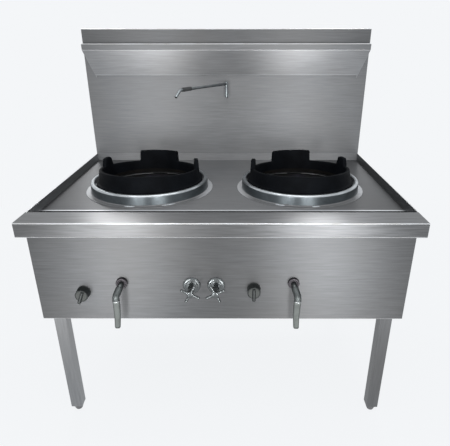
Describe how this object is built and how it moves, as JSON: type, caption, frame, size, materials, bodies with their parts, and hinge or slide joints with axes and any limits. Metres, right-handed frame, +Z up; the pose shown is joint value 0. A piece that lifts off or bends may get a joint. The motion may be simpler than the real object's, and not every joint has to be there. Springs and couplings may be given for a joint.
{
  "type": "wok range",
  "caption": "Free-standing two-burner wok range in stainless sheet with splashback, swing spout, gas levers, pilot knobs and levelling feet.",
  "frame": {"origin": "on the floor, under the middle of the range's outer box", "axes": "+X to the cook's right, +Y from the cook towards the splashback, +Z up"},
  "size_m": [1.2, 0.938, 1.285],
  "materials": {
    "stainless_sheet": "brushed along the bench",
    "stainless_legs": "brushed along the legs",
    "frame_steel": "mill finish",
    "polished_trim": "polished",
    "black_iron": "black enamel over casting",
    "burner_iron": "bare, heat darkened",
    "chamber_steel": "heat resisting sheet",
    "gas_pipe": "semi-gloss",
    "brass_fittings": "machined",
    "copper_pipe": "drawn tube",
    "chrome_fittings": "polished",
    "lever_boss_metal": "satin",
    "lever_metal": "satin",
    "knob_plastic": "moulded black",
    "grip_rubber": "ribbed black",
    "foot_plastic": "moulded dark grey"
  },
  "bodies": {
    "bench": {"deck_plate": "stainless_sheet", "drain_outlet": "chamber_steel", "frame_rails": "frame_steel", "front_ledge": "stainless_sheet", "front_left_leg": "stainless_legs", "front_panel": "stainless_sheet", "front_right_leg": "stainless_legs", "gas_manifold": "gas_pipe", "gutter_channel": "stainless_sheet", "left_burner": "burner_iron", "left_burner_chamber": "chamber_steel", "left_gas_valve": "brass_fittings", "left_pilot_valve": "brass_fittings", "left_side_panel": "stainless_sheet", "left_side_rim": "stainless_sheet", "left_tap_body": "chrome_fittings", "left_trim_ring": "polished_trim", "panel_screws": "frame_steel", "pilot_burners": "copper_pipe", "rear_left_leg": "stainless_legs", "rear_panel": "stainless_sheet", "rear_right_leg": "stainless_legs", "rear_upstand": "stainless_sheet", "right_burner": "burner_iron", "right_burner_chamber": "chamber_steel", "right_gas_valve": "brass_fittings", "right_pilot_valve": "brass_fittings", "right_side_panel": "stainless_sheet", "right_side_rim": "stainless_sheet", "right_tap_body": "chrome_fittings", "right_trim_ring": "polished_trim", "shelf_cover": "stainless_sheet", "splashback_face": "stainless_sheet", "splashback_rear_skin": "stainless_sheet", "spout_elbow": "chrome_fittings", "spout_supply": "copper_pipe", "spray_bar": "chrome_fittings", "spray_supply": "copper_pipe", "tap_escutcheons": "chrome_fittings", "water_manifold": "brass_fittings"},
    "left_wok_support": {"left_wok_ring": "black_iron"},
    "left_gas_lever": {"left_lever_hub": "lever_boss_metal", "left_lever_handle": "lever_metal"},
    "left_pilot_stem": {"left_pilot_spindle": "brass_fittings"},
    "left_pilot_button": {"left_pilot_knob": "knob_plastic"},
    "left_tap": {"left_tap_handle": "chrome_fittings"},
    "front_left_levelling": {"front_left_foot": "foot_plastic"},
    "rear_left_levelling": {"rear_left_foot": "foot_plastic"},
    "right_wok_support": {"right_wok_ring": "black_iron"},
    "right_gas_lever": {"right_lever_hub": "lever_boss_metal", "right_lever_handle": "lever_metal"},
    "right_pilot_stem": {"right_pilot_spindle": "brass_fittings"},
    "right_pilot_button": {"right_pilot_knob": "knob_plastic"},
    "right_tap": {"right_tap_handle": "chrome_fittings"},
    "front_right_levelling": {"front_right_foot": "foot_plastic"},
    "rear_right_levelling": {"rear_right_foot": "foot_plastic"},
    "spout": {"spout_arm": "chrome_fittings", "spout_grip": "grip_rubber"},
    "strainer": {"gutter_strainer": "chrome_fittings"}
  },
  "joints": [
    {"name": "left_ring_lift", "type": "slide", "parent": "bench", "child": "left_wok_support", "axis": [0, 0, 1], "range_m": [0, 0.15]},
    {"name": "left_lever_turn", "type": "hinge", "parent": "bench", "child": "left_gas_lever", "pos_m": [-0.31, -0.404, 0.558], "axis": [0, -1, 0], "range_deg": [0, 90]},
    {"name": "left_pilot_turn", "type": "hinge", "parent": "bench", "child": "left_pilot_stem", "pos_m": [-0.433, -0.404, 0.525], "axis": [0, -1, 0], "range_deg": [0, 90]},
    {"name": "left_pilot_push", "type": "slide", "parent": "left_pilot_stem", "child": "left_pilot_button", "axis": [0, 1, 0], "range_m": [0, 0.004], "stiffness_N_per_m": 1500},
    {"name": "left_tap_turn", "type": "hinge", "parent": "bench", "child": "left_tap", "pos_m": [-0.0945, -0.404, 0.546], "axis": [0, -1, 0], "range_deg": [0, 540]},
    {"name": "front_left_foot_screw", "type": "slide", "parent": "bench", "child": "front_left_levelling", "axis": [0, 0, -1], "range_m": [0, 0.02]},
    {"name": "rear_left_foot_screw", "type": "slide", "parent": "bench", "child": "rear_left_levelling", "axis": [0, 0, -1], "range_m": [0, 0.02]},
    {"name": "right_ring_lift", "type": "slide", "parent": "bench", "child": "right_wok_support", "axis": [0, 0, 1], "range_m": [0, 0.15]},
    {"name": "right_lever_turn", "type": "hinge", "parent": "bench", "child": "right_gas_lever", "pos_m": [0.222, -0.404, 0.558], "axis": [0, -1, 0], "range_deg": [0, 90]},
    {"name": "right_pilot_turn", "type": "hinge", "parent": "bench", "child": "right_pilot_stem", "pos_m": [0.099, -0.404, 0.536], "axis": [0, -1, 0], "range_deg": [0, 90]},
    {"name": "right_pilot_push", "type": "slide", "parent": "right_pilot_stem", "child": "right_pilot_button", "axis": [0, 1, 0], "range_m": [0, 0.004], "stiffness_N_per_m": 1500},
    {"name": "right_tap_turn", "type": "hinge", "parent": "bench", "child": "right_tap", "pos_m": [-0.0185, -0.404, 0.546], "axis": [0, -1, 0], "range_deg": [0, 540]},
    {"name": "front_right_foot_screw", "type": "slide", "parent": "bench", "child": "front_right_levelling", "axis": [0, 0, -1], "range_m": [0, 0.02]},
    {"name": "rear_right_foot_screw", "type": "slide", "parent": "bench", "child": "rear_right_levelling", "axis": [0, 0, -1], "range_m": [0, 0.02]},
    {"name": "spout_swing", "type": "hinge", "parent": "bench", "child": "spout", "pos_m": [0, 0.384, 1.058], "axis": [0, 0, 1], "range_deg": [-46, 114]},
    {"name": "strainer_lift", "type": "slide", "parent": "bench", "child": "strainer", "axis": [0, 0, 1], "range_m": [0, 0.08]}
  ]
}
